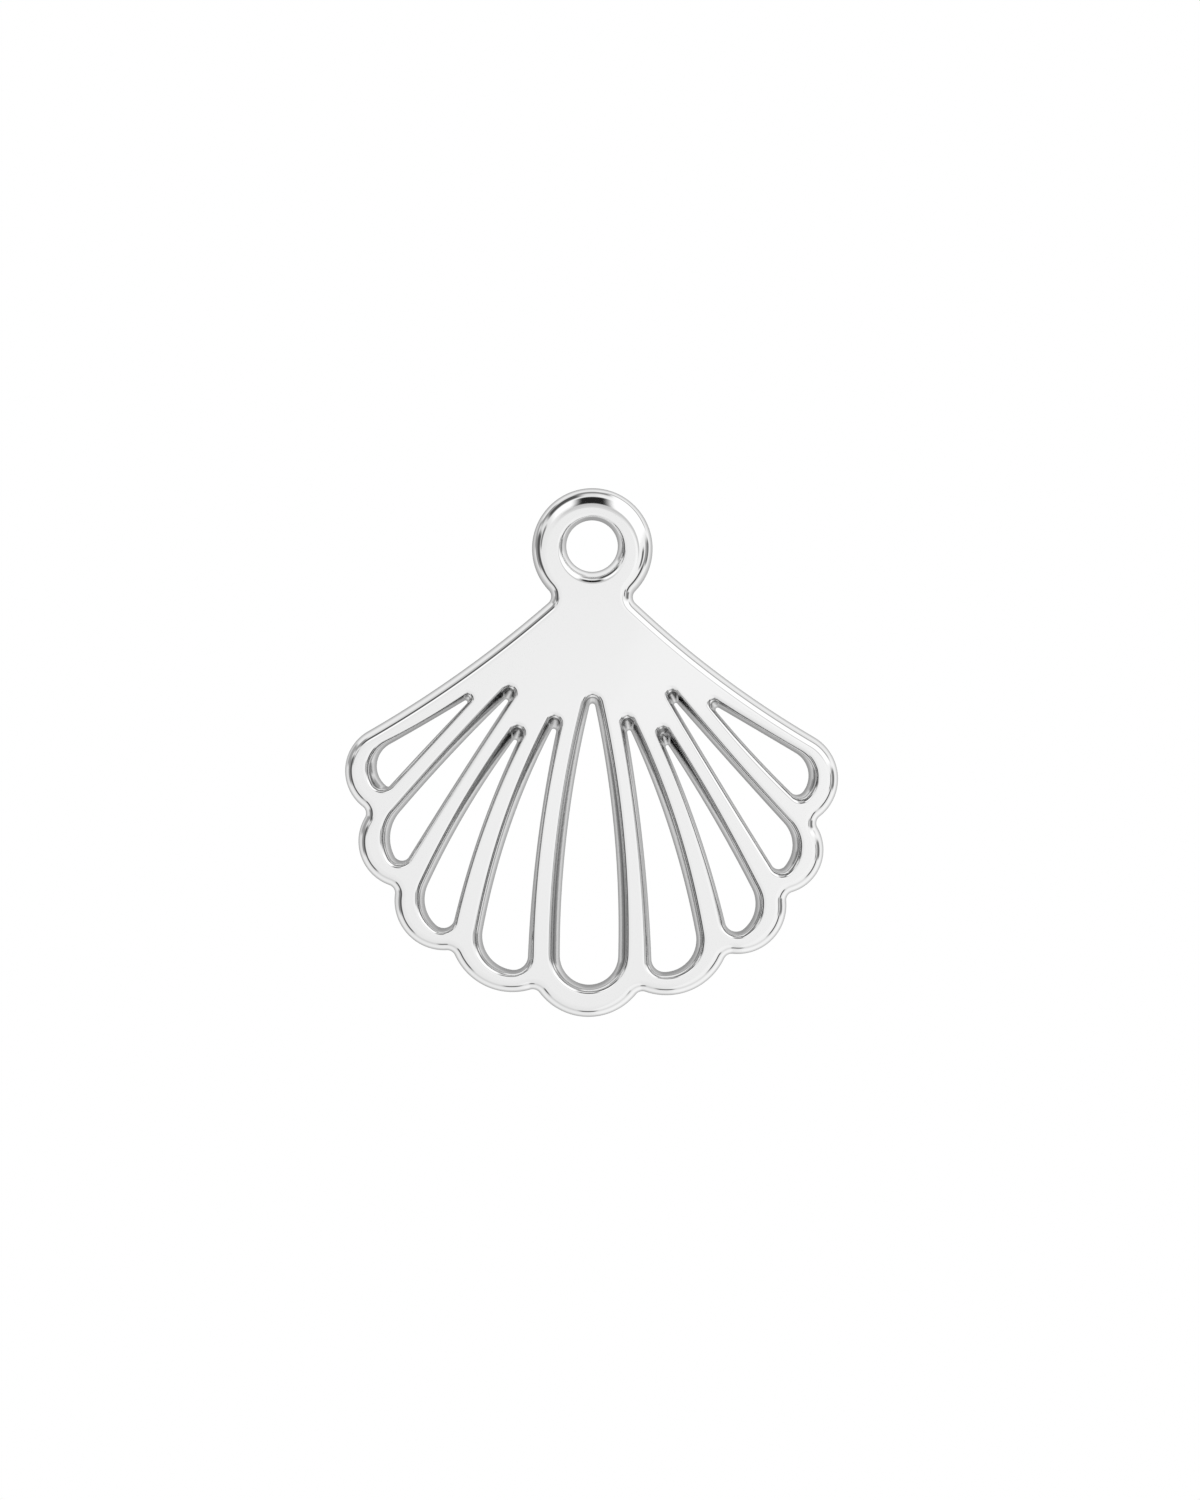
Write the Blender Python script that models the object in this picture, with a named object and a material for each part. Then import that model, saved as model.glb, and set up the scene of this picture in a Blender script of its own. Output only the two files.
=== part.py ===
"""Scallop shell pendant: one openwork silver casting with a hanging loop.

The pendant lies on its flat back. +Z points out of the polished face, +Y points from the fan to the
hanging loop, and the origin is under the middle of its outline, on the surface that it lies on.

Every outline is a closed chain of circles that touch their neighbours, so that its corners, sides
and lobes are true arcs. A positive radius bulges out of the outline and a negative one curves into it.
Lengths below are in millimetres. The outline curve is drawn in them too, and its mesh is then scaled
to metres.
"""
import math

import bmesh
import bpy

MM = 0.001

# Edge profile, the same on the rim, in the slots and in the eye
THICKNESS = 1.40
BACK_ROUND = 0.08
WALL_DRAFT = 0.07
FRONT_ROUND = 0.14
EDGE_INSET = WALL_DRAFT + FRONT_ROUND
FRONT_ROUND_STEPS = 3
CHORD_ERROR = 0.005
CAP_WELD = 0.0005

# Rim, as it is at its widest, near the back
LOOP = (-0.01, 6.94, 2.08)
NECK_FILLET = 0.30
NOTCH_FILLET = 0.28
LEFT_FLANK_CENTRE = (-27.90, 34.90)
RIGHT_FLANK_CENTRE = (24.75, 30.20)
LOBES = [
    (-6.89, -0.78, 1.57),
    (-6.37, -3.20, 1.61),
    (-5.00, -5.23, 1.72),
    (-2.64, -6.18, 2.19),
    (-0.02, -7.08, 2.12),
    (2.65, -6.21, 2.22),
    (5.10, -5.30, 1.69),
    (6.52, -3.38, 1.53),
    (6.87, -0.93, 1.66),
]

# Eye and slots, as they are on the flat front face
EYE = (-0.02, 6.90, 1.14)
MIDDLE_SLOT_TIP = (0.05, 1.55, 0.42)
MIDDLE_SLOT_END = (0.00, -6.90, 1.40)
MIDDLE_SLOT_BULGE = 36.0

# One row a slot, from the left edge to the right edge: the circles of its tip and of its round end, the
# direction in degrees and the radius of the end's narrower corner, and the radii of its outer and inner side
SIDE_SLOTS = [
    ((-4.20, 1.75, 0.23), (-6.60, -0.70, 1.12), -150, 0.55, -17.0, 400.0),
    ((-2.80, 1.95, 0.32), (-5.65, -3.05, 1.55), -150, 0.55, 100.0, -150.0),
    ((-2.50, 0.60, 0.32), (-4.60, -5.10, 1.38), -122, 0.58, 33.0, -25.0),
    ((-1.25, 0.95, 0.32), (-2.65, -6.42, 1.35), -82, 0.73, 25.5, -35.0),
    ((1.25, 0.97, 0.31), (2.65, -6.45, 1.35), -104, 0.60, 27.0, -48.0),
    ((2.45, 0.65, 0.28), (4.72, -5.20, 1.30), -59, 0.65, 62.0, -32.5),
    ((2.75, 1.93, 0.26), (5.97, -3.22, 1.33), -45, 0.50, -104.0, 142.0),
    ((4.18, 1.63, 0.25), (6.75, -0.85, 1.08), -51, 0.40, -228.0, 27.0),
]


def touching(first, second, radius):
    """Circle of the given radius that touches two others, which follow each other counterclockwise."""
    to_first = abs(radius - first[2])
    to_second = abs(radius - second[2])
    dx = second[0] - first[0]
    dy = second[1] - first[1]
    apart = math.hypot(dx, dy)
    along = (apart ** 2 + to_first ** 2 - to_second ** 2) / (2 * apart)
    turn = radius * (radius - first[2]) * (radius - second[2])
    aside = math.copysign(math.sqrt(to_first ** 2 - along ** 2), turn)
    x = first[0] + (dx * along - dy * aside) / apart
    y = first[1] + (dy * along + dx * aside) / apart
    return (x, y, radius)


def flank(centre, lobe):
    """Hollow circle about centre that touches the lobe."""
    return (*centre, lobe[2] - math.dist(centre, lobe[:2]))


def rim():
    """Circles of the outer outline, counterclockwise from the loop."""
    left = flank(LEFT_FLANK_CENTRE, LOBES[0])
    right = flank(RIGHT_FLANK_CENTRE, LOBES[-1])
    circles = [LOOP, touching(LOOP, left, -NECK_FILLET), left, LOBES[0]]
    for previous, lobe in zip(LOBES, LOBES[1:]):
        circles += [touching(previous, lobe, -NOTCH_FILLET), lobe]
    return circles + [right, touching(right, LOOP, -NECK_FILLET)]


def mirrored(circle):
    return (-circle[0], circle[1], circle[2])


def side_slot(tip, end, corner_direction, corner_radius, outer_radius, inner_radius):
    """Circles of a slot beside the middle one, counterclockwise from its tip."""
    reach = end[2] - corner_radius
    towards = math.radians(corner_direction)
    corner = (end[0] + reach * math.cos(towards), end[1] + reach * math.sin(towards), corner_radius)
    on_right = tip[0] > 0
    if on_right:
        tip, end, corner = mirrored(tip), mirrored(end), mirrored(corner)
    circles = [tip, touching(tip, end, outer_radius), end, corner, touching(corner, tip, inner_radius)]
    if on_right:
        circles = [mirrored(circle) for circle in reversed(circles)]
    return circles


def middle_slot():
    tip, end = MIDDLE_SLOT_TIP, MIDDLE_SLOT_END
    return [tip, touching(tip, end, MIDDLE_SLOT_BULGE), end, touching(end, tip, MIDDLE_SLOT_BULGE)]


def outline_points(circles, inset=0.0):
    """Points of a chain of touching circles, moved inwards by inset, with each arc cut into chords."""
    if len(circles) == 1:
        x, y, radius = circles[0]
        count = math.ceil(math.pi / math.acos(1 - CHORD_ERROR / radius))
        reach = radius - inset
        angles = [2 * math.pi * step / count for step in range(count)]
        return [(x + reach * math.cos(angle), y + reach * math.sin(angle)) for angle in angles]
    normals = []
    for (x0, y0, r0), (x1, y1, r1) in zip(circles, circles[1:] + circles[:1]):
        normals.append(math.atan2((y1 - y0) / (r0 - r1), (x1 - x0) / (r0 - r1)))
    points = []
    for (x, y, radius), start, end in zip(circles, normals[-1:] + normals[:-1], normals):
        turn = (end - start) % (2 * math.pi)
        if radius < 0:
            turn -= 2 * math.pi
        chord_turn = 2 * math.acos(1 - CHORD_ERROR / abs(radius))
        count = math.ceil(abs(turn) / chord_turn)
        reach = radius - inset
        for step in range(count):
            angle = start + turn * step / count
            points.append((x + reach * math.cos(angle), y + reach * math.sin(angle)))
    return points


def add_spline(curve, points):
    spline = curve.splines.new("POLY")
    spline.points.add(len(points) - 1)
    for point, (x, y) in zip(spline.points, points):
        point.co = (x, y, 0, 1)
    return spline


def edge_profile():
    """Open curve of the edge from back to front: x runs into the metal, y runs up."""
    points = [(BACK_ROUND, 0), (0, BACK_ROUND), (WALL_DRAFT, THICKNESS - FRONT_ROUND)]
    for step in range(1, FRONT_ROUND_STEPS + 1):
        angle = math.pi / 2 * step / FRONT_ROUND_STEPS
        x = WALL_DRAFT + FRONT_ROUND * (1 - math.cos(angle))
        points.append((x, THICKNESS - FRONT_ROUND * (1 - math.sin(angle))))
    curve = bpy.data.curves.new("edge_profile", "CURVE")
    curve.dimensions = "2D"
    add_spline(curve, points)
    profile = bpy.data.objects.new("edge_profile", curve)
    profile.hide_render = True
    profile.display_type = "WIRE"
    return profile


def silver():
    material = bpy.data.materials.new("polished_silver")
    material.use_nodes = True
    shader = material.node_tree.nodes["Principled BSDF"]
    shader.inputs["Base Color"].default_value = (0.86, 0.86, 0.86, 1)
    shader.inputs["Metallic"].default_value = 1.0
    shader.inputs["Roughness"].default_value = 0.08
    return material


def closed_mesh(curve_object, name):
    """Mesh of the evaluated curve, with its caps joined to its edge."""
    depsgraph = bpy.context.evaluated_depsgraph_get()
    mesh = bpy.data.meshes.new_from_object(curve_object.evaluated_get(depsgraph))
    mesh.name = name
    work = bmesh.new()
    work.from_mesh(mesh)
    bmesh.ops.remove_doubles(work, verts=work.verts, dist=CAP_WELD)
    bmesh.ops.recalc_face_normals(work, faces=work.faces)
    bmesh.ops.scale(work, vec=(MM, MM, MM), verts=work.verts)
    work.to_mesh(mesh)
    work.free()
    return mesh


def main():
    for scene_object in list(bpy.data.objects):
        bpy.data.objects.remove(scene_object, do_unlink=True)
    parts = bpy.data.collections.new("scallop_shell_pendant")
    guides = bpy.data.collections.new("guides")
    bpy.context.scene.collection.children.link(parts)
    bpy.context.scene.collection.children.link(guides)

    profile = edge_profile()
    guides.objects.link(profile)
    curve = bpy.data.curves.new("shell_outline", "CURVE")
    curve.dimensions = "2D"
    curve.fill_mode = "BOTH"
    curve.bevel_mode = "OBJECT"
    curve.bevel_object = profile
    openings = [middle_slot(), [EYE]] + [side_slot(*slot) for slot in SIDE_SLOTS]
    rim_points = outline_points(rim())
    add_spline(curve, rim_points).use_cyclic_u = True
    for opening in openings:
        add_spline(curve, outline_points(opening, EDGE_INSET)).use_cyclic_u = True
    outline = bpy.data.objects.new("shell_outline", curve)
    guides.objects.link(outline)

    mesh = closed_mesh(outline, "shell_pendant")
    bpy.data.objects.remove(outline, do_unlink=True)
    mesh.materials.clear()
    mesh.materials.append(silver())
    mesh.shade_smooth()
    mesh.set_sharp_from_angle(angle=math.radians(30))
    pendant = bpy.data.objects.new("shell_pendant", mesh)
    middle = [(min(values) + max(values)) / 2 for values in zip(*rim_points)]
    pendant.location = (-middle[0] * MM, -middle[1] * MM, 0)
    parts.objects.link(pendant)


main()
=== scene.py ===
"""Looks of the scallop shell pendant: a polished silver casting, seen from straight above its face.

The pendant lies on its back, with +Z out of the polished face and +Y towards the loop. Its outlines are
drawn as in the CAD part: closed chains of circles that touch their neighbours, in millimetres about the
middle of the fan. A positive radius bulges out of the outline and a negative one curves into it. The
rim's widest outline is the part's own. The openings get other outlines on the back, because the part
has one edge profile for all of them.
"""
import math

import bpy
import numpy as np
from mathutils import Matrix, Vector
from mathutils.geometry import delaunay_2d_cdt


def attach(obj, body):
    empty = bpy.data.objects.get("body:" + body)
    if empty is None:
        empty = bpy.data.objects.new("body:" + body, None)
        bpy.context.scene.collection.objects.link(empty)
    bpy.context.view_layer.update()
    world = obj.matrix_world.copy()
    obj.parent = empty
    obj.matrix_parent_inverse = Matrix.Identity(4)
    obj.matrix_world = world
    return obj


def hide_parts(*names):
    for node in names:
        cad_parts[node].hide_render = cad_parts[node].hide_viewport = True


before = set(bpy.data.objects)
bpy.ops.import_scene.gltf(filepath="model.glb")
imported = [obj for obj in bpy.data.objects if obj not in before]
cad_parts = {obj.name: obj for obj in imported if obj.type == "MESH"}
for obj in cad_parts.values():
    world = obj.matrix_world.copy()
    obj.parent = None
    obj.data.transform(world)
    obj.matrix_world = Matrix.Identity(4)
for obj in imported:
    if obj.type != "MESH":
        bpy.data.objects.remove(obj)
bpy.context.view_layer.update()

MM = 0.001
NODE = "shell_pendant"

# Rim at its widest, as in the CAD part
THICKNESS = 1.40
LOOP = (-0.01, 6.94, 2.08)
NECK_FILLET = 0.30
NOTCH_FILLET = 0.28
LEFT_FLANK_CENTRE = (-27.90, 34.90)
RIGHT_FLANK_CENTRE = (24.75, 30.20)
LOBES = [
    (-6.89, -0.78, 1.57),
    (-6.37, -3.20, 1.61),
    (-5.00, -5.23, 1.72),
    (-2.64, -6.18, 2.19),
    (-0.02, -7.08, 2.12),
    (2.65, -6.21, 2.22),
    (5.10, -5.30, 1.69),
    (6.52, -3.38, 1.53),
    (6.87, -0.93, 1.66),
]

# Loop where its wall ends and where the flat face begins: it is rounded off more broadly than the rest
LOOP_WALL_TOP = (-0.01, 6.91, 1.93)
FACE_LOOP = (-0.04, 6.73, 1.58)

# Eye on the flat face, where its wall ends, and on the back
EYE_FACE = (0.00, 6.86, 1.17)
EYE_WALL_TOP = (-0.01, 6.95, 1.01)
EYE_BACK = (-0.02, 7.03, 0.89)

# Slots on the flat face and on the back, where they are narrower, fitted to their edges in the photograph.
# A row has the circles of the tip and the round end, and for the middle slot the radius of its sides. A
# side slot's row is as in the CAD part, and goes on with the direction in degrees and the radius of the
# end's narrower corner, and the radii of its outer and inner side
MIDDLE_SLOT_ON_FACE = ((0.05, 1.57, 0.42), (0.00, -6.93, 1.40), 36.0)
MIDDLE_SLOT_ON_BACK = ((0.04, 1.50, 0.10), (0.00, -7.09, 1.01), 37.0)
SLOTS_ON_FACE = [
    ((-4.20, 1.75, 0.23), (-6.60, -0.70, 1.12), -150, 0.55, -17.0, 400.0),
    ((-2.80, 1.95, 0.32), (-5.65, -3.05, 1.55), -150, 0.55, 100.0, -150.0),
    ((-2.50, 0.60, 0.32), (-4.60, -5.10, 1.38), -122, 0.58, 33.0, -25.0),
    ((-1.25, 0.95, 0.32), (-2.65, -6.42, 1.35), -82, 0.73, 25.5, -35.0),
    ((1.25, 0.97, 0.31), (2.65, -6.45, 1.35), -104, 0.60, 27.0, -48.0),
    ((2.45, 0.65, 0.28), (4.72, -5.20, 1.30), -59, 0.65, 62.0, -32.5),
    ((2.75, 1.93, 0.26), (5.97, -3.22, 1.33), -45, 0.50, -104.0, 142.0),
    ((4.18, 1.63, 0.25), (6.75, -0.85, 1.08), -51, 0.40, -228.0, 27.0),
]
SLOTS_ON_BACK = [
    ((-4.34, 1.60, 0.07), (-6.51, -0.62, 0.87), -128, 0.10, -86.0, -158.0),
    ((-2.94, 1.65, 0.07), (-5.52, -3.09, 1.38), -153, 0.30, 58.0, -222.0),
    ((-2.62, 0.26, 0.07), (-4.48, -5.19, 1.21), -132, 0.39, 28.4, -31.5),
    ((-1.29, 0.63, 0.09), (-2.51, -6.44, 1.18), -97, 0.49, 25.0, -47.7),
    ((1.32, 0.62, 0.07), (2.58, -6.52, 1.12), -88, 0.45, 29.6, -59.0),
    ((2.64, 0.13, 0.06), (4.58, -5.26, 1.15), -49, 0.40, 53.0, -35.9),
    ((2.92, 1.59, 0.06), (5.86, -3.23, 1.13), -40, 0.28, -245.0, 266.0),
    ((4.37, 1.42, 0.08), (6.61, -0.83, 0.91), -36, 0.29, 327.0, 36.6),
]

# Rounding at the back: its radius
BACK_ROUND = 0.07

# Rounding at the front: how far inside the rim's widest outline it ends and how wide it is there, its
# greatest width in a slot, alone and as a share of the way from face to foot, and its greatest height
RIM_INSET = 0.39
RIM_ROUND = 0.20
SLOT_ROUND = 0.17
SLOT_ROUND_SHARE = 0.58
ROUND_HEIGHT = 0.20

# Faint roll-off that polishing leaves on the face beside the rounding: its height and its widths
ROLL_OFF_RISE = 0.002
RIM_ROLL_OFF = 0.08
OPENING_ROLL_OFF = 0.05

# Profiles: how far the ellipse of the wall turns, and where on its ellipse the front rounding starts
RIM_PROFILE = (math.radians(25), math.radians(12))
SLOT_PROFILE = (math.radians(62), math.radians(25))

# Fineness of the mesh: rows of faces up the edge, and the spacing of the points along an outline
BACK_ROUND_STEPS = 3
WALL_STEPS = 8
# Rows at the top of a slot's wall in the darkest silver: rougher metal, and a band of painted shade under
# the front rounding
AS_CAST_AND_SHADE_STEPS = 1
FRONT_ROUND_STEPS = 12
ROLL_OFF_STEPS = 3
POINT_SPACING = 0.09
TURN_STEP = 0.14
FEWEST_ARC_POINTS = 4

# Filling of the flat faces: points tested at once, and the triangulation's mode and merging distance
POINTS_AT_ONCE = 256
ONLY_INSIDE_FACES = 1
MERGE_DISTANCE = 1e-7

# Studio: brightness of the tent by elevation in degrees, what its right side adds over a range of x, and
# its cards. A card's row is its direction, half its width and its sides' softness, its lowest and highest
# elevation and their softness, and its brightness
TENT_LEVELS = [
    (-90, 0.30), (-78, 0.38), (-69, 0.58), (-60, 0.87), (-48, 0.87), (-30, 0.82), (-12, 0.73), (5, 0.66),
    (20, 0.75), (40, 0.84), (78, 0.86), (84, 0.88), (90, 0.94),
]
RIGHT_SIDE_FROM = 0.02
RIGHT_SIDE_TO = 0.12
RIGHT_SIDE_EXTRA = 0.09
CARDS = [
    (45, 18, 14, -10, 66, 30, 1.12),
    (118, 10, 14, 44, 66, 10, 1.10),
    (52, 20, 14, -50, -22, 12, 0.46),
    (122, 14, 12, 8, 34, 12, 0.09),
    (140, 8, 8, -30, 0, 16, 0.32),
    (90, 13, 8, -4, 8, 18, 0.24),
    (90, 10, 13, 50, 74, 6, 0.02),
    (160, 8, 8, 46, 54, 6, 0.22),
    (160, 10, 8, -60, -36, 8, 0.36),
    (180, 12, 12, -50, 30, 14, 0.28),
    (180, 16, 10, 4, 32, 10, 0.10),
    (-152, 14, 10, 6, 26, 12, 0.10),
    (0, 8, 9, -50, 20, 12, 0.33),
    (0, 8, 9, -24, -10, 8, 0.12),
    (-4, 7, 8, 44, 54, 7, 0.12),
    (-28, 10, 12, 8, 25, 10, 0.07),
    (-90, 5, 7, -4, 12, 8, 0.10),
    (68, 40, 20, 78, 81, 3, 0.62),
]

# Floor: half its size in metres, and how far it lies below the back
FLOOR_HALF = 0.5
FLOOR_DROP = 0.02

# Places of the materials in the casting's list: polished silver, and the two slot-wall silvers, whose
# colour is darkened as painted shade inside the slots
POLISHED = 0
WALL = 1
AS_CAST_AND_SHADE = 2

# Camera: the photograph is taken from straight above, and the pendant is turned a little in it
IMAGE_HEIGHT_PX = 1500
PX_PER_MM = 29.33
OBJECT_X_PX = 590.7
IMAGE_MIDDLE_X_PX = 600.0
ROLL = 0.0089
CAMERA_DISTANCE = 110.0
SENSOR_MM = 36.0


def touching(first, second, radius):
    """Circle of the given radius that touches two others, which follow each other counterclockwise."""
    to_first = abs(radius - first[2])
    to_second = abs(radius - second[2])
    dx = second[0] - first[0]
    dy = second[1] - first[1]
    apart = math.hypot(dx, dy)
    along = (apart ** 2 + to_first ** 2 - to_second ** 2) / (2 * apart)
    turn = radius * (radius - first[2]) * (radius - second[2])
    aside = math.copysign(math.sqrt(to_first ** 2 - along ** 2), turn)
    x = first[0] + (dx * along - dy * aside) / apart
    y = first[1] + (dy * along + dx * aside) / apart
    return (x, y, radius)


def flank(centre, lobe):
    """Hollow circle about centre that touches the lobe."""
    return (*centre, lobe[2] - math.dist(centre, lobe[:2]))


def offset(circles, outwards):
    """The same outline moved outwards everywhere by the same distance."""
    return [(x, y, radius + outwards) for x, y, radius in circles]


def rim_outline(loop, inset):
    """Circles of the rim, counterclockwise from the given loop. The rest is moved inwards by inset."""
    lobes = offset(LOBES, -inset)
    neck_radius = -(NECK_FILLET + inset)
    notch_radius = -(NOTCH_FILLET + inset)
    left = flank(LEFT_FLANK_CENTRE, lobes[0])
    right = flank(RIGHT_FLANK_CENTRE, lobes[-1])
    circles = [loop, touching(loop, left, neck_radius), left, lobes[0]]
    for previous, lobe in zip(lobes, lobes[1:]):
        circles += [touching(previous, lobe, notch_radius), lobe]
    return circles + [right, touching(right, loop, neck_radius)]


def mirrored(circle):
    return (-circle[0], circle[1], circle[2])


def middle_slot(tip, end, bulge):
    """Circles of the middle slot, counterclockwise from its tip."""
    return [tip, touching(tip, end, bulge), end, touching(end, tip, bulge)]


def side_slot(tip, end, corner_direction, corner_radius, outer_radius, inner_radius):
    """Circles of a slot beside the middle one, counterclockwise from its tip."""
    reach = end[2] - corner_radius
    towards = math.radians(corner_direction)
    corner = (end[0] + reach * math.cos(towards), end[1] + reach * math.sin(towards), corner_radius)
    on_right = tip[0] > 0
    if on_right:
        tip, end, corner = mirrored(tip), mirrored(end), mirrored(corner)
    circles = [tip, touching(tip, end, outer_radius), end, corner, touching(corner, tip, inner_radius)]
    if on_right:
        circles = [mirrored(circle) for circle in reversed(circles)]
    return circles


def arc_ends(circles):
    """Direction of the outline's normal at the start of each circle's arc, and how far the arc turns."""
    if len(circles) == 1:
        return [(0.0, 2 * math.pi)]
    ends = []
    for (x0, y0, r0), (x1, y1, r1) in zip(circles, circles[1:] + circles[:1]):
        ends.append(math.atan2((y1 - y0) / (r0 - r1), (x1 - x0) / (r0 - r1)))
    arcs = []
    for (x, y, radius), start, end in zip(circles, ends[-1:] + ends[:-1], ends):
        turn = (end - start) % (2 * math.pi)
        if radius < 0:
            turn -= 2 * math.pi
        arcs.append((start, turn))
    return arcs


def matched_points(chains):
    """Points of like outlines, arc by arc with the same number of points on each."""
    arcs = [arc_ends(chain) for chain in chains]
    outlines = [[] for chain in chains]
    for number in range(len(chains[0])):
        longest = max(abs(chain[number][2] * ends[number][1]) for chain, ends in zip(chains, arcs))
        widest = max(abs(ends[number][1]) for ends in arcs)
        count = max(FEWEST_ARC_POINTS, math.ceil(longest / POINT_SPACING), math.ceil(widest / TURN_STEP))
        share = np.arange(count) / count
        for chain, ends, points in zip(chains, arcs, outlines):
            x, y, radius = chain[number]
            start, turn = ends[number]
            angles = start + turn * share
            points.append(np.column_stack([x + radius * np.cos(angles), y + radius * np.sin(angles)]))
    return [np.concatenate(points) for points in outlines]


def edge_rings(chains, profile):
    """Rings of points of the edge, up from the flat back to the flat face.

    The chains are the outlines of the flat back, the wall's foot and its top, and the ends of the
    front rounding and of its roll-off. A slot has no outline of its wall's top: its rounding takes a
    share of the way from the face to the foot, up to a limit.
    """
    wall_turn, round_start = profile
    flat_back, foot, *own_top, face, flat_face = matched_points(chains)
    if own_top:
        top = own_top[0]
    else:
        apart = np.linalg.norm(foot - face, axis=1, keepdims=True)
        top = face + (foot - face) * np.minimum(SLOT_ROUND_SHARE, SLOT_ROUND / apart)
    round_height = np.minimum(ROUND_HEIGHT, np.linalg.norm(face - top, axis=1))
    rings = []

    def add_ring(lower, upper, share, height):
        flat = lower + (upper - lower) * share
        rings.append(np.column_stack([flat, np.broadcast_to(height, len(flat))]))

    for i in range(BACK_ROUND_STEPS + 1):
        angle = math.pi / 2 * i / BACK_ROUND_STEPS
        add_ring(flat_back, foot, math.sin(angle), BACK_ROUND * (1 - math.cos(angle)))
    wall_top = THICKNESS - ROLL_OFF_RISE - round_height
    for i in range(1, WALL_STEPS + 1):
        angle = wall_turn * i / WALL_STEPS
        across = (1 - math.cos(angle)) / (1 - math.cos(wall_turn))
        rise = math.sin(angle) / math.sin(wall_turn)
        add_ring(foot, top, across, BACK_ROUND + (wall_top - BACK_ROUND) * rise)
    for i in range(1, FRONT_ROUND_STEPS + 1):
        angle = round_start + (math.pi / 2 - round_start) * i / FRONT_ROUND_STEPS
        across = 1 - math.cos(angle) / math.cos(round_start)
        rise = (math.sin(angle) - math.sin(round_start)) / (1 - math.sin(round_start))
        add_ring(top, face, across, wall_top + round_height * rise)
    for i in range(1, ROLL_OFF_STEPS + 1):
        share = i / ROLL_OFF_STEPS
        add_ring(face, flat_face, share, THICKNESS - ROLL_OFF_RISE * (1 - share) ** 2)
    return rings


def ring_normals(rings, into_metal_on_left):
    """Smooth normals of a grid of rings, straight down on the back and straight up on the face."""
    grid = np.array(rings)
    along = np.roll(grid, -1, axis=1) - np.roll(grid, 1, axis=1)
    up = np.empty_like(grid)
    up[1:-1] = grid[2:] - grid[:-2]
    up[0] = grid[1] - grid[0]
    up[-1] = grid[-1] - grid[-2]
    normals = np.cross(along, up)
    if not into_metal_on_left:
        normals = -normals
    normals /= np.linalg.norm(normals, axis=2, keepdims=True)
    normals[0] = (0, 0, -1)
    normals[-1] = (0, 0, 1)
    return normals


def inside(points, polygons):
    """Whether each point lies inside an odd number of the polygons."""
    odd = np.zeros(len(points), bool)
    for polygon in polygons:
        x0, y0 = polygon.T
        x1, y1 = np.roll(polygon, -1, axis=0).T
        for start in range(0, len(points), POINTS_AT_ONCE):
            some = slice(start, start + POINTS_AT_ONCE)
            px = points[some, 0][:, None]
            py = points[some, 1][:, None]
            crosses = (y0 > py) != (y1 > py)
            rise = np.where(y1 == y0, 1.0, y1 - y0)
            hits = crosses & (px < x0 + (py - y0) * (x1 - x0) / rise)
            odd[some] ^= hits.sum(axis=1) % 2 == 1
    return odd


def flat_faces(borders):
    """Triangles of the flat region between borders, as indices of the mesh's points.

    A border is the points of an outline and the index of the first one in the mesh.
    """
    outlines = [outline for outline, first in borders]
    points = np.concatenate(outlines)
    indices = np.concatenate([first + np.arange(len(outline)) for outline, first in borders])
    sides = []
    for outline in outlines:
        start = len(sides)
        count = len(outline)
        sides += [(start + i, start + (i + 1) % count) for i in range(count)]
    flat = [Vector(point) for point in points]
    result = delaunay_2d_cdt(flat, sides, [], ONLY_INSIDE_FACES, MERGE_DISTANCE)
    originals = [source[0] for source in result[3]]
    triangles = np.array([[originals[v] for v in face] for face in result[2]])
    keep = inside(points[triangles].mean(axis=1), outlines)
    return indices[triangles[keep]]


def edge_bands():
    """Every edge, the rim's first: its chains of circles from back to face, and its profile."""
    back = rim_outline(LOOP, 0)
    face = rim_outline(FACE_LOOP, RIM_INSET)
    rim_chains = [
        offset(back, -BACK_ROUND), back, rim_outline(LOOP_WALL_TOP, RIM_INSET - RIM_ROUND), face,
        offset(face, -RIM_ROLL_OFF),
    ]
    eye_chains = [
        offset([EYE_BACK], BACK_ROUND), [EYE_BACK], [EYE_WALL_TOP], [EYE_FACE],
        offset([EYE_FACE], OPENING_ROLL_OFF),
    ]
    bands = [(rim_chains, RIM_PROFILE), (eye_chains, RIM_PROFILE)]
    slots = [(middle_slot(*MIDDLE_SLOT_ON_BACK), middle_slot(*MIDDLE_SLOT_ON_FACE))]
    slots += [(side_slot(*back), side_slot(*face)) for back, face in zip(SLOTS_ON_BACK, SLOTS_ON_FACE)]
    for back, face in slots:
        chains = [offset(back, BACK_ROUND), back, face, offset(face, OPENING_ROLL_OFF)]
        bands.append((chains, SLOT_PROFILE))
    return bands


def rim_middle():
    """Middle of the rim's box in outline coordinates: it lies on the frame's origin."""
    rim_points = matched_points([rim_outline(LOOP, 0)])[0]
    return (rim_points.min(axis=0) + rim_points.max(axis=0)) / 2


def row_material(row, profile):
    """Place in the material list of the faces between a ring of the edge and the next one up."""
    wall_row = row - BACK_ROUND_STEPS
    if profile is RIM_PROFILE or not 0 <= wall_row < WALL_STEPS:
        return POLISHED
    # A slot's wall gets darker silver, its top row the darkest, as painted shade inside the slot
    if wall_row < WALL_STEPS - AS_CAST_AND_SHADE_STEPS:
        return WALL
    return AS_CAST_AND_SHADE


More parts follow.
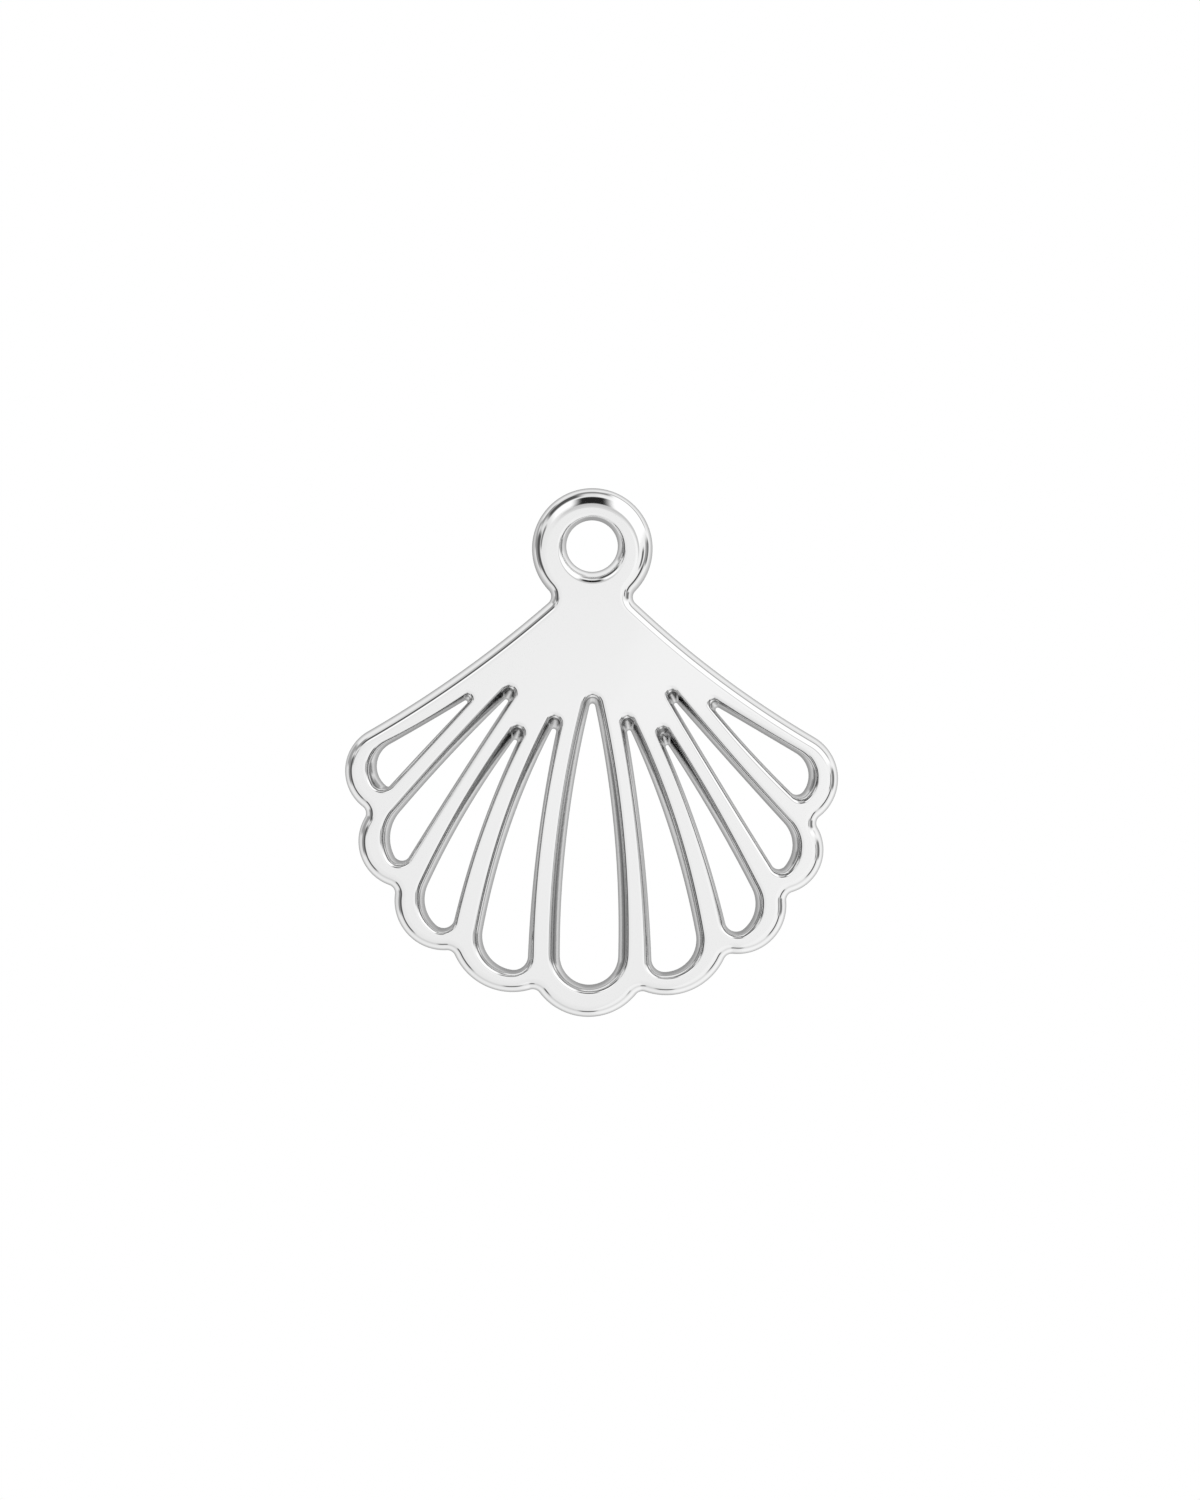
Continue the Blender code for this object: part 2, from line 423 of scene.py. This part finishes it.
def casting(materials):
    """The whole casting as one closed mesh: edge bands around every outline, and two flat faces."""
    points = []
    normals = []
    polygons = []
    face_materials = []
    back_borders = []
    face_borders = []
    first = 0
    for number, (chains, profile) in enumerate(edge_bands()):
        is_rim = number == 0
        rings = edge_rings(chains, profile)
        count = len(rings[0])
        points.append(np.concatenate(rings))
        normals.append(ring_normals(rings, is_rim).reshape(-1, 3))
        index = first + np.arange(len(rings) * count).reshape(len(rings), count)
        following = np.roll(index, -1, axis=1)
        for row in range(len(rings) - 1):
            quads = np.stack([index[row], following[row], following[row + 1], index[row + 1]], axis=1)
            if not is_rim:
                quads = quads[:, ::-1]
            polygons += quads.tolist()
            face_materials += [row_material(row, profile)] * count
        back_borders.append((rings[0][:, :2], first))
        face_borders.append((rings[-1][:, :2], index[-1, 0]))
        first += len(rings) * count
    flat = flat_faces(back_borders)[:, ::-1].tolist() + flat_faces(face_borders).tolist()
    polygons += flat
    face_materials += [POLISHED] * len(flat)

    mesh = bpy.data.meshes.new("pendant_casting")
    coordinates = (np.concatenate(points) - (*rim_middle(), 0)) * MM
    mesh.from_pydata(coordinates.tolist(), [], polygons)
    for material in materials:
        mesh.materials.append(material)
    mesh.polygons.foreach_set("material_index", face_materials)
    mesh.shade_smooth()
    mesh.normals_split_custom_set_from_vertices(np.concatenate(normals).tolist())
    mesh.update()
    piece = bpy.data.objects.new("pendant_casting", mesh)
    bpy.context.scene.collection.objects.link(piece)
    return piece


class Nodes:
    """Short calls for building a node tree."""

    def __init__(self, tree):
        self.tree = tree
        tree.nodes.clear()

    def put(self, socket, value):
        """Link the value if it is another node's output, or set it."""
        if isinstance(value, bpy.types.NodeSocket):
            self.tree.links.new(value, socket)
        else:
            socket.default_value = value

    def add(self, kind, inputs=(), **settings):
        node = self.tree.nodes.new(kind)
        for name, value in settings.items():
            setattr(node, name, value)
        for name, value in dict(inputs).items():
            self.put(node.inputs[name], value)
        return node

    def math(self, operation, *values, clamp=False):
        node = self.add("ShaderNodeMath", operation=operation, use_clamp=clamp)
        for socket, value in zip(node.inputs, values):
            self.put(socket, value)
        return node.outputs[0]

    def wrapped(self, degrees):
        """The same angle between -180 and 180."""
        return self.math("WRAP", degrees, 180.0, -180.0)

    def mix(self, factor, first, second):
        return self.add("ShaderNodeMix", {"Factor": factor, "A": first, "B": second}).outputs["Result"]

    def ramp(self, elevation, levels):
        """Brightness by elevation in degrees, straight between the given pairs."""
        position = self.math("MULTIPLY_ADD", elevation, 1 / 180, 0.5)
        node = self.add("ShaderNodeFloatCurve", {"Value": position})
        curve = node.mapping.curves[0]
        node.mapping.use_clip = False
        while len(curve.points) < len(levels):
            curve.points.new(0.5, 0.5)
        for point, (degrees, level) in zip(curve.points, levels):
            point.location = (degrees / 180 + 0.5, level)
            point.handle_type = "VECTOR"
        node.mapping.update()
        return node.outputs[0]

    def smooth(self, value, low, high):
        """0 below low, 1 above high, with a soft step between."""
        limits = {"Value": value, "From Min": low, "From Max": high}
        return self.add("ShaderNodeMapRange", limits, interpolation_type="SMOOTHSTEP").outputs[0]

    def band(self, value, low, high, soft):
        """1 between low and high, falling to 0 over soft on both sides."""
        rising = self.smooth(value, low - soft, low)
        falling = self.smooth(value, high, high + soft)
        return self.math("SUBTRACT", rising, falling, clamp=True)


def polished_silver():
    material = bpy.data.materials.new("polished_silver")
    material.use_nodes = True
    n = Nodes(material.node_tree)
    place = n.add("ShaderNodeTexCoord").outputs["Object"]
    waves = n.add("ShaderNodeTexNoise", {"Vector": place, "Scale": 700.0, "Detail": 2.0})
    bump = n.add("ShaderNodeBump", {"Strength": 0.03, "Distance": 0.00005, "Height": waves.outputs[0]})
    shader = n.add("ShaderNodeBsdfPrincipled", {
        "Base Color": (0.93, 0.93, 0.93, 1),
        "Metallic": 1.0,
        "Roughness": 0.05,
        "Normal": bump.outputs[0],
    })
    n.add("ShaderNodeOutputMaterial", {"Surface": shader.outputs[0]})
    return material


def slot_wall(name, colour, roughness, bump_strength):
    """Silver inside a slot, where polishing hardly reaches: duller, and a little grainy. Its colour is
    darkened as painted shade inside the slot.
    """
    material = bpy.data.materials.new(name)
    material.use_nodes = True
    n = Nodes(material.node_tree)
    place = n.add("ShaderNodeTexCoord").outputs["Object"]
    grain = n.add("ShaderNodeTexNoise", {"Vector": place, "Scale": 9000.0, "Detail": 3.0})
    bump = n.add("ShaderNodeBump", {
        "Strength": bump_strength, "Distance": 0.00003, "Height": grain.outputs[0],
    })
    shader = n.add("ShaderNodeBsdfPrincipled", {
        "Base Color": (colour, colour, colour, 1),
        "Metallic": 1.0,
        "Roughness": roughness,
        "Normal": bump.outputs[0],
    })
    n.add("ShaderNodeOutputMaterial", {"Surface": shader.outputs[0]})
    return material


def studio():
    """White tent with dark cards, painted by direction, for reflections; the camera sees plain white."""
    world = bpy.data.worlds.new("studio")
    bpy.context.scene.world = world
    world.use_nodes = True
    n = Nodes(world.node_tree)
    direction = n.add("ShaderNodeTexCoord").outputs["Generated"]
    xyz = n.add("ShaderNodeSeparateXYZ", {"Vector": direction}).outputs
    elevation = n.math("MULTIPLY", n.math("ARCSINE", xyz[2]), 180 / math.pi)
    azimuth = n.math("MULTIPLY", n.math("ARCTAN2", xyz[1], xyz[0]), 180 / math.pi)

    level = n.ramp(elevation, TENT_LEVELS)
    right = n.smooth(xyz[0], RIGHT_SIDE_FROM, RIGHT_SIDE_TO)
    level = n.math("ADD", level, n.math("MULTIPLY", right, RIGHT_SIDE_EXTRA))
    for middle, half_width, side_softness, low, high, softness, brightness in CARDS:
        aside = n.math("ABSOLUTE", n.wrapped(n.math("SUBTRACT", azimuth, middle)))
        within = n.math("SUBTRACT", 1.0, n.smooth(aside, half_width, half_width + side_softness))
        mask = n.math("MULTIPLY", within, n.band(elevation, low, high, softness))
        level = n.mix(mask, level, brightness)

    seen = n.add("ShaderNodeLightPath").outputs["Is Camera Ray"]
    background = n.add("ShaderNodeBackground", {"Strength": n.mix(seen, level, 1.0), "Color": (1, 1, 1, 1)})
    n.add("ShaderNodeOutputWorld", {"Surface": background.outputs[0]})


def floor():
    """White light table that the pendant lies on."""
    mesh = bpy.data.meshes.new("floor")
    corners = [(x * FLOOR_HALF, y * FLOOR_HALF, 0) for x, y in ((-1, -1), (1, -1), (1, 1), (-1, 1))]
    mesh.from_pydata(corners, [], [(0, 1, 2, 3)])
    material = bpy.data.materials.new("light_table")
    material.use_nodes = True
    n = Nodes(material.node_tree)
    glow = n.add("ShaderNodeEmission", {"Color": (1, 1, 1, 1), "Strength": 1.0})
    n.add("ShaderNodeOutputMaterial", {"Surface": glow.outputs[0]})
    mesh.materials.append(material)
    table = bpy.data.objects.new("floor", mesh)
    table.location.z = -FLOOR_DROP * MM
    table.visible_glossy = False
    table.visible_diffuse = False
    bpy.context.scene.collection.objects.link(table)


def camera():
    """Camera straight above the middle of the photograph's frame, looking down."""
    data = bpy.data.cameras.new("camera")
    data.sensor_fit = "VERTICAL"
    data.sensor_height = SENSOR_MM
    data.lens = SENSOR_MM * CAMERA_DISTANCE * PX_PER_MM / IMAGE_HEIGHT_PX
    data.clip_start = 0.01
    viewer = bpy.data.objects.new("camera", data)
    middle = rim_middle()
    x = (IMAGE_MIDDLE_X_PX - OBJECT_X_PX) / PX_PER_MM - middle[0]
    y = -middle[1]
    viewer.location = (x * MM, y * MM, (THICKNESS + CAMERA_DISTANCE) * MM)
    viewer.rotation_euler = (0, 0, ROLL)
    bpy.context.scene.collection.objects.link(viewer)
    bpy.context.scene.camera = viewer


def main():
    bpy.context.scene.view_settings.view_transform = "Standard"
    camera()
    studio()
    floor()
    # Slot walls: rougher, grainier silver whose colour is darkened as painted shade in the slots, darkest
    # in a band of painted shade under the front rounding
    wall = slot_wall("slot_wall_silver_and_painted_shade", colour=0.68, roughness=0.13, bump_strength=0.12)
    as_cast_and_shade = slot_wall("as_cast_silver_and_painted_shade", colour=0.38, roughness=0.25, bump_strength=0.4)
    piece = casting([polished_silver(), wall, as_cast_and_shade])
    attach(piece, "root")
    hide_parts(NODE)


main()
